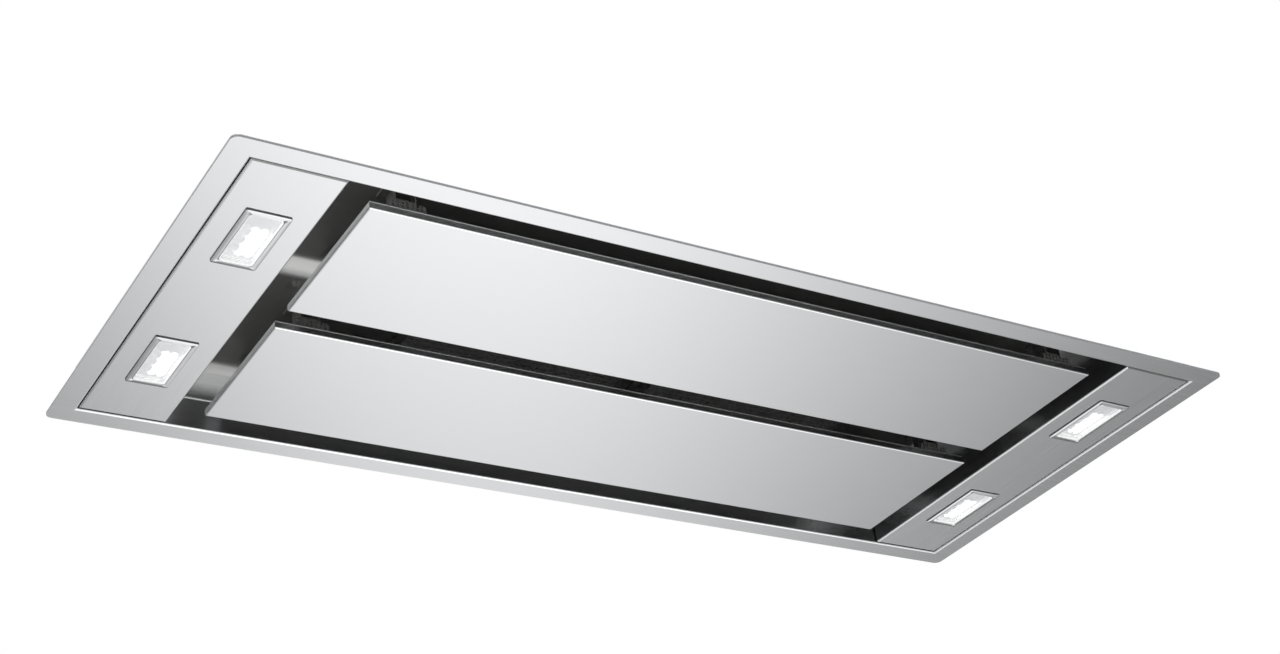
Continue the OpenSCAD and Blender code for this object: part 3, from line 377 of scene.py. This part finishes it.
def make_clear(mat):
    bsdf = mat.node_tree.nodes["Principled BSDF"]
    bsdf.inputs["Transmission Weight"].default_value = 1.0
    bsdf.inputs["IOR"].default_value = LENS_IOR


def glow(mat, strength):
    """Give a lit material its own light, which on the board and the reflector is painted light."""
    bsdf = mat.node_tree.nodes["Principled BSDF"]
    bsdf.inputs["Emission Color"].default_value = LAMP_COLOUR
    bsdf.inputs["Emission Strength"].default_value = strength


GRAIN_ALONG = (14, 1500, 1500)
GRAIN_ACROSS = (1500, 14, 1500)
STEEL = ((0.815, 0.825, 0.835), (0.84, 0.85, 0.86), 1.0, (0.2, 0.26))
# Look of each finish: name, dark and light colour, metallic, roughness, scale of the grain, relief, cells
LOOKS = {
    "stainless": ("brushed_stainless", *STEEL, GRAIN_ALONG, 0.03),
    "stainless_panel": ("brushed_stainless_panel", *STEEL, GRAIN_ALONG, 0.03),
    "stainless_across": ("brushed_stainless_across", *STEEL, GRAIN_ACROSS, 0.03),
    "polished": (
        "polished_deck", (0.52, 0.52, 0.515), (0.58, 0.58, 0.57), 0.88, (0.1, 0.16), (9, 700, 700), 0.03),
    "backing": (
        "backing_steel", (0.34, 0.34, 0.33), (0.42, 0.42, 0.41), 0.85, (0.45, 0.58), (20, 900, 900), 0.06),
    "zinc": ("zinc_plated", (0.40, 0.41, 0.42), (0.56, 0.57, 0.58), 1.0, (0.28, 0.42), (260, 260, 260), 0.08),
    "hinge": (
        "hinge_steel", (0.22, 0.22, 0.215), (0.30, 0.30, 0.29), 0.85, (0.45, 0.6), (260, 260, 260), 0.08),
    "magnet": ("magnet", (0.07, 0.07, 0.075), (0.12, 0.12, 0.125), 0.7, (0.35, 0.5), (600, 600, 600), 0.1),
    "filter_frame": (
        "filter_aluminium", (0.50, 0.50, 0.51), (0.62, 0.62, 0.63), 1.0, (0.3, 0.4), (20, 800, 800), 0.05),
    "filter_mesh": (
        "filter_mesh", (0.80, 0.80, 0.80), (0.90, 0.90, 0.90), 1.0, (0.45, 0.55), (420, 420, 420), 0.03),
    "black_plastic": (
        "black_plastic", (0.018, 0.018, 0.019), (0.035, 0.035, 0.036), 0.0, (0.42, 0.55),
        (900, 900, 900), 0.15),
    "galvanised": (
        "galvanised", (0.50, 0.52, 0.54), (0.70, 0.72, 0.74), 1.0, (0.32, 0.5), (85, 85, 85), 0.05, True),
    "wheel": ("wheel_metal", (0.56, 0.57, 0.58), (0.66, 0.67, 0.68), 1.0, (0.28, 0.4), (180, 180, 180), 0.05),
    "motor": (
        "motor_paint", (0.035, 0.036, 0.038), (0.06, 0.061, 0.063), 0.2, (0.38, 0.5), (500, 500, 500), 0.12),
    "grey_plastic": (
        "grey_plastic", (0.28, 0.285, 0.29), (0.34, 0.345, 0.35), 0.0, (0.45, 0.58), (800, 800, 800), 0.15),
    "board": (
        "circuit_board", (0.010, 0.085, 0.035), (0.016, 0.14, 0.06), 0.0, (0.3, 0.45), (220, 220, 220), 0.1),
    "bezel": ("lamp_bezel", (0.72, 0.73, 0.74), (0.77, 0.78, 0.79), 1.0, (0.18, 0.24), (60, 60, 60), 0.01),
    "bezel_edge": (
        "bezel_edge", (0.07, 0.07, 0.072), (0.10, 0.10, 0.102), 0.2, (0.4, 0.5), (200, 200, 200), 0.03),
    "reflector": (
        "lamp_reflector", (0.90, 0.90, 0.90), (0.94, 0.94, 0.94), 0.0, (0.3, 0.4), (200, 200, 200), 0.02),
    "diodes": ("lamp_diodes", (0.90, 0.90, 0.90), (0.96, 0.96, 0.96), 0.0, (0.2, 0.3), (300, 300, 300), 0.02),
    "lamp_board": (
        "lamp_board", (0.78, 0.79, 0.80), (0.86, 0.86, 0.87), 0.0, (0.35, 0.5), (200, 200, 200), 0.05),
    "lens": ("lamp_lens", (0.95, 0.96, 0.97), (0.99, 0.99, 1.0), 0.0, (0.02, 0.06), (90, 90, 90), 0.02),
    "sink": ("heat_sink", (0.55, 0.55, 0.56), (0.66, 0.66, 0.67), 1.0, (0.32, 0.45), (40, 500, 40), 0.06),
}


# Colour of the lamps' light, and how strongly each lit surface shines: the diodes are the lamps, and the glow
# of the board and of the reflector is painted light for the diodes' light falling on them
LAMP_COLOUR = (1.0, 0.995, 0.985, 1)
GLOWS = {"diodes": 1.3, "lamp_board": 0.3, "reflector": 0.25}
# The light panels' short ends get painted shade, darkened so that their bends show no highlight: lean of such
# a surface along Y, and the colour of that painted shade
END_SHADE_TILT = (0.06, 0.2)
END_SHADE_COLOUR = (0.22, 0.22, 0.22, 1)
# Painted shade: the suction panels' long walls and the deck are darkened towards one end, in metres along X
WALL_SHADE_TILT = (0.5, 0.9)
WALL_SHADE_PLACE = (-0.18, 0.42)
WALL_SHADE_COLOUR = (0.33, 0.33, 0.33, 1)
DECK_SHADE_PLACE = (0.32, 0.41)
DECK_SHADE_COLOUR = (0.11, 0.11, 0.11, 1)


def make_materials():
    materials = {kind: grained(*look) for kind, look in LOOKS.items()}
    # Painted shade on the light panels' short ends, which hides the highlight of their bends
    ends = materials["stainless_across"]
    lean = math_node(ends.node_tree, "ABSOLUTE", coordinate(ends, "Normal", "Y"))
    paint_shade(ends, map_range(ends.node_tree, lean, *END_SHADE_TILT), END_SHADE_COLOUR)
    # Painted shade on the suction panels' long walls, darker towards one end
    walls = materials["stainless_panel"]
    lean = math_node(walls.node_tree, "ABSOLUTE", coordinate(walls, "Normal", "Y"))
    steep = map_range(walls.node_tree, lean, *WALL_SHADE_TILT)
    place = map_range(walls.node_tree, coordinate(walls, "Object", "X"), *WALL_SHADE_PLACE)
    paint_shade(walls, math_node(walls.node_tree, "MULTIPLY", steep, place), WALL_SHADE_COLOUR)
    # Painted shade on the deck, darker towards one end
    deck = materials["polished"]
    paint_shade(deck, map_range(deck.node_tree, coordinate(deck, "Object", "X"), *DECK_SHADE_PLACE), DECK_SHADE_COLOUR)
    make_clear(materials["lens"])
    for kind, strength in GLOWS.items():
        glow(materials[kind], strength)
    return materials


# Start of the node's name, and its finish
FINISHES = [
    ("trim_frame", "stainless"), ("light_panel", "stainless_across"), ("suction_panel", "stainless_panel"),
    ("panel_backing", "backing"), ("hinge_pins", "zinc"), ("hinge_", "hinge"), ("striker", "zinc"),
    ("catch_brackets", "zinc"), ("catch_magnets", "magnet"), ("intake_deck", "polished"),
    ("filter_frame", "filter_frame"), ("filter_mesh", "filter_mesh"), ("filter_latch", "black_plastic"),
    ("lower_housing", "galvanised"), ("motor_box", "galvanised"), ("scroll_", "galvanised"),
    ("outlet_transition", "galvanised"), ("fan_wheel", "wheel"), ("motor_shaft", "wheel"),
    ("motor_body", "motor"), ("motor_spider", "zinc"), ("duct_collar", "galvanised"), ("flap_pin", "zinc"),
    ("damper_flap", "galvanised"), ("hanger_brackets", "galvanised"), ("housing_screws", "zinc"),
    ("control_box_lid", "grey_plastic"), ("control_box", "grey_plastic"), ("control_board", "board"),
    ("motor_capacitor", "black_plastic"), ("cable_gland", "grey_plastic"), ("lamp_bezel", "bezel"),
    ("lamp_lens", "lens"), ("lamp_board", "lamp_board"), ("lamp_sink", "sink"),
]


def dress_nodes(materials):
    for name, obj in NODES.items():
        finish = next(kind for start, kind in FINISHES if name.startswith(start))
        obj.data.materials.clear()
        obj.data.materials.append(materials[finish])


# Soft edges on the carried-over nodes

# Start of the node's name, and the radius of its edges in millimetres
SOFT_EDGES = [("lamp_lens", 0.3), ("control_box", 0.6), ("cable_gland", 0.6), ("filter_latch", 0.5),
              ("motor_body", 1.0), ("motor_capacitor", 1.5), ("striker", 0.3), ("filter_frame", 0.25)]
EDGE_WELD = 0.01 * MM
EDGE_STEPS = 3
# Angle in degrees from which an edge is rounded
EDGE_ANGLE = 40


def soften_edges():
    for name, obj in NODES.items():
        radius = next((r for start, r in SOFT_EDGES if name.startswith(start)), None)
        if radius is None:
            continue
        weld = obj.modifiers.new("weld", "WELD")
        weld.merge_threshold = EDGE_WELD
        bevel = obj.modifiers.new("soft_edges", "BEVEL")
        bevel.width = radius * MM
        bevel.segments = EDGE_STEPS
        bevel.limit_method = "ANGLE"
        bevel.angle_limit = math.radians(EDGE_ANGLE)


# Lamps

# Outline of the bezel's section, from the panel round the outside to the back of the collar:
# (half width, half length, corner radius, height above the face), in millimetres
BEZEL_SECTION = [
    (21.0, 43.0, 2.0, 1.0), (21.0, 43.0, 2.0, -0.15), (20.85, 42.85, 1.9, -0.45), (20.55, 42.55, 1.7, -0.6),
    (16.5, 38.0, 3.2, -0.6), (16.2, 37.7, 3.1, -0.35), (15.9, 37.4, 3.0, -0.6), (15.3, 36.8, 2.8, -0.6),
    (14.5, 36.0, 2.5, 0.3), (14.5, 36.0, 2.5, 6.0), (16.0, 37.5, 4.0, 6.0), (16.0, 37.5, 4.0, 1.0),
]
# Looks of the bezel, and the bands of its section that have another than the first: the dark outer edge,
# which is painted shade for the shadow line along the panel, and the white rim, a painted highlight line, and
# the white wall of the window
BEZEL_LOOKS = ("bezel", "reflector", "bezel_edge")
# Band 0 is painted shade and band 7 a painted highlight line
BEZEL_BANDS = {0: 2, 7: 1, 8: 1}
# Looks of the board, and the section of the board in rows of the same kind
BOARD_LOOKS = ("lamp_board", "diodes")
PLAIN, SHINING = 0, 1
BOARD_SECTION = [
    (15.4, 36.9, 3.4, 6.0), (16.0, 37.5, 4.0, 6.4), (16.0, 37.5, 4.0, 7.2), (15.4, 36.9, 3.4, 7.6),
]
# Section of the shining coat round the diodes, a patch of painted light for the diodes' light spread over the
# board, and its distance from their middle along X
PAINTED_LIGHT_SECTION = [(7.2, 20.0, 1.5, 6.0), (7.2, 20.0, 1.5, 5.85)]
PAINTED_LIGHT_OFFSET = 5.4
# The diodes' distance from the board's middle along Y, their pitch and how many there are
DIODE_SHIFT = 9.0
DIODE_PITCH = (8.4, 12.8)
DIODE_GRID = (3, 4)
# Radius, top and bottom of a diode's base and of its dome
DIODE_BASE = (4.0, 6.0, 5.7)
DIODE_DOME = (3.5, 5.7, 4.5)
DOME_RINGS = 5
DOME_CORNERS = 24
# Angle in degrees from which an edge of the lamps' meshes is shaded sharp
SHARP_ANGLE = 35


def rounded_loop(bm, centre, half_x, half_y, radius, height):
    """Vertices round a rounded rectangle at a height above the face, all in millimetres."""
    return [bm.verts.new((centre[0] + x * MM, centre[1] + y * MM, FACE_Z + height * MM))
            for x, y in corner_arcs(half_x, half_y, radius)]


def round_loop(bm, centre, radius, height):
    """Vertices round a circle at a height above the face, in millimetres."""
    turns = [2 * math.pi * k / DOME_CORNERS for k in range(DOME_CORNERS)]
    return [bm.verts.new((centre[0] + radius * MM * math.cos(a), centre[1] + radius * MM * math.sin(a),
                          FACE_Z + height * MM)) for a in turns]


def bridge(bm, loops, closed=False, slot=PLAIN, odd_bands=None):
    """Faces between neighbouring loops; the ends are capped unless the last loop joins the first.
    Some bands between two loops may have another material."""
    pairs = list(zip(loops, loops[1:] + loops[:1])) if closed else list(zip(loops, loops[1:]))
    for band, (low, high) in enumerate(pairs):
        count = len(low)
        for k in range(count):
            n = (k + 1) % count
            face = bm.faces.new((low[k], low[n], high[n], high[k]))
            face.material_index = (odd_bands or {}).get(band, slot)
            face.smooth = True
    if not closed:
        for loop in (loops[0], loops[-1]):
            bm.faces.new(loop).material_index = slot


def finish_mesh(bm, name, materials):
    bmesh.ops.recalc_face_normals(bm, faces=bm.faces)
    mesh = bpy.data.meshes.new(name)
    bm.to_mesh(mesh)
    bm.free()
    mesh.set_sharp_from_angle(angle=math.radians(SHARP_ANGLE))
    for material in materials:
        mesh.materials.append(material)
    return link_object(name, mesh)


def lamp_centre(place):
    low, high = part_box("lamp_board_" + place)
    return (low.x + high.x) / 2, (low.y + high.y) / 2


def make_bezel(place, materials):
    bm = bmesh.new()
    rows = [rounded_loop(bm, lamp_centre(place), *row) for row in BEZEL_SECTION]
    bridge(bm, rows, closed=True, odd_bands=BEZEL_BANDS)
    bezel = finish_mesh(bm, "bezel_" + place, [materials[kind] for kind in BEZEL_LOOKS])
    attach(bezel, "hood_body")
    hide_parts("lamp_bezel_" + place)


def make_lamp_board(place, materials):
    """White board with a shining coat of painted light, and with a raised base and a dome for each diode.
    The domes of the first column don't shine, which paints shade on that side of the lamp."""
    bm = bmesh.new()
    centre = lamp_centre(place)
    bridge(bm, [rounded_loop(bm, centre, *row) for row in BOARD_SECTION])
    centre = (centre[0], centre[1] + DIODE_SHIFT * MM)
    # The shining coat is painted light: a glowing patch over the columns right of the first
    coat = (centre[0] + PAINTED_LIGHT_OFFSET * MM, centre[1])
    bridge(bm, [rounded_loop(bm, coat, *row) for row in PAINTED_LIGHT_SECTION], slot=SHINING)
    for i in range(DIODE_GRID[0]):
        for j in range(DIODE_GRID[1]):
            at = (centre[0] + (i - (DIODE_GRID[0] - 1) / 2) * DIODE_PITCH[0] * MM,
                  centre[1] + (j - (DIODE_GRID[1] - 1) / 2) * DIODE_PITCH[1] * MM)
            radius, top, low = DIODE_BASE
            bridge(bm, [round_loop(bm, at, radius, top), round_loop(bm, at, radius, low)])
            radius, top, low = DIODE_DOME
            rings = []
            for ring in range(DOME_RINGS):
                a = math.pi / 2 * ring / DOME_RINGS
                rings.append(round_loop(bm, at, radius * math.cos(a), top + (low - top) * math.sin(a)))
            # The first column's domes are left dim: painted shade
            bridge(bm, rings, slot=SHINING if i else PLAIN)
    board = finish_mesh(bm, "diode_board_" + place, [materials[kind] for kind in BOARD_LOOKS])
    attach(board, "hood_body")
    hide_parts("lamp_board_" + place)


# Grease filter packs

# Distance of each filter's middle from the middle of the hood, along X
FILTER_X = 139 * MM
# Pitch of the cells, radius of their holes, how many there are along X and Y, and thickness of a sheet
PACK_PITCH = 8 * MM
PACK_HOLE = 2.0 * MM
PACK_CELLS = (32, 36)
PACK_SHEET = 0.5 * MM
# Height above the face, sideways shift and corners of a hole, for each sheet of the pack
PACK_LAYERS = [(36.6 * MM, 0.0, 16), (39.2 * MM, 4 * MM, 8), (42.2 * MM, 0.0, 8)]
# Distance under which the points of neighbouring cells are joined
PACK_WELD = 0.02 * MM
# The latch's guide, which has no cells: half width, and how far it reaches from the near edge
LATCH_HALF = 20 * MM
LATCH_REACH = 30 * MM


def square_point(angle, half):
    """The point of a square's outline in this direction."""
    c, s = math.cos(angle), math.sin(angle)
    k = half / max(abs(c), abs(s))
    return c * k, s * k


def perforated_sheet(bm, centre, z, shift, corners):
    """One sheet of square cells, each with a round hole of that many corners. A shifted sheet has one
    column less."""
    columns, rows = PACK_CELLS
    half = PACK_PITCH / 2
    near = centre[1] - rows * half
    for i in range(columns - 1 if shift else columns):
        for j in range(rows):
            x = centre[0] + (i - (columns - 1) / 2) * PACK_PITCH + shift
            y = centre[1] + (j - (rows - 1) / 2) * PACK_PITCH
            if abs(x - centre[0]) < LATCH_HALF + half and y < near + LATCH_REACH:
                continue
            ring, edge = [], []
            for k in range(corners):
                a = 2 * math.pi * k / corners
                ring.append(bm.verts.new((x + PACK_HOLE * math.cos(a), y + PACK_HOLE * math.sin(a), z)))
                dx, dy = square_point(a, half)
                edge.append(bm.verts.new((x + dx, y + dy, z)))
            for k in range(corners):
                n = (k + 1) % corners
                bm.faces.new((ring[k], ring[n], edge[n], edge[k]))


def make_filter_pack(side, name, node, material):
    bm = bmesh.new()
    for height, shift, corners in PACK_LAYERS:
        perforated_sheet(bm, (side * FILTER_X, 0), FACE_Z + height, shift, corners)
    bmesh.ops.remove_doubles(bm, verts=bm.verts, dist=PACK_WELD)
    mesh = bpy.data.meshes.new(name)
    bm.to_mesh(mesh)
    bm.free()
    pack = link_object(name, mesh)
    thick = pack.modifiers.new("sheet", "SOLIDIFY")
    thick.thickness = PACK_SHEET
    thick.offset = 0
    mesh.materials.append(material)
    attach(pack, "hood_body")
    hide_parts(node)


# The scene

make_camera()
make_stage()
make_world()
for lamp in LIGHTS:
    area_light(*lamp)
finishes = make_materials()
dress_nodes(finishes)
soften_edges()
for corner in ("front_left", "rear_left", "front_right", "rear_right"):
    make_bezel(corner, finishes)
    make_lamp_board(corner, finishes)
make_filter_pack(-1, "filter_pack_left", "filter_mesh_left", finishes["filter_mesh"])
make_filter_pack(1, "filter_pack_right", "filter_mesh_right", finishes["filter_mesh"])

bpy.context.scene.view_settings.view_transform = "Standard"
